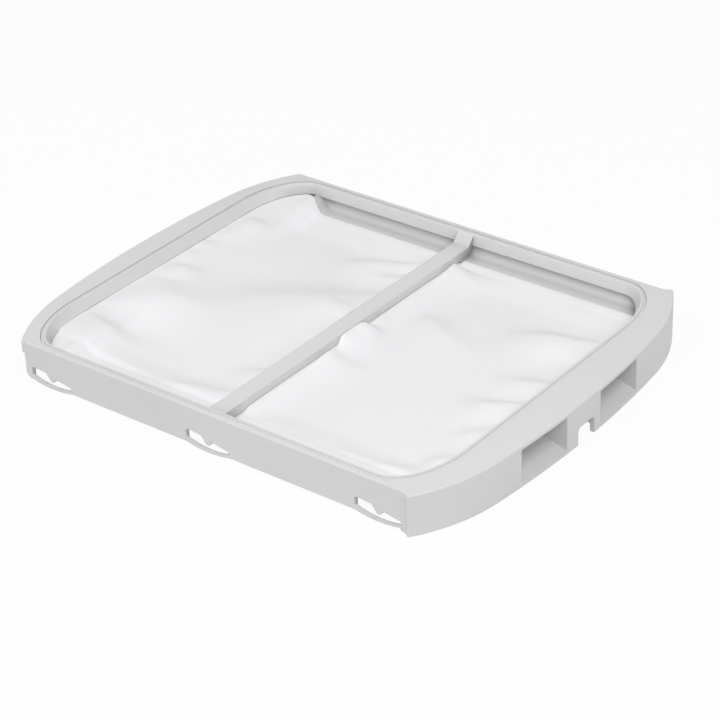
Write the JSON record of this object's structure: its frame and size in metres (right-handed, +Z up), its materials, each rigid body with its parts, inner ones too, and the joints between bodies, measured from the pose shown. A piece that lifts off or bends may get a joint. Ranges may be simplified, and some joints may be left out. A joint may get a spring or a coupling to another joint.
{
  "type": "lint filter tray",
  "caption": "Flat slide-in lint filter: a moulded tray frame with bowed ends and a finger-grip handle, holding a drop-in frame with a fine mesh and a cross bar.",
  "frame": {"origin": "centre of the part's footprint, on the plane it lies on", "axes": "+X towards the handle end, +Y from the front wall to the back wall, +Z up, out of the open side of the tray"},
  "size_m": [0.3026, 0.2432, 0.0236],
  "materials": {
    "frame_plastic": "fine satin, light grey-white",
    "mesh_cloth": "fine woven white filament net"
  },
  "bodies": {
    "root": {"outer_frame": "frame_plastic", "mesh_frame": "frame_plastic", "filter_mesh": "mesh_cloth"}
  },
  "joints": []
}
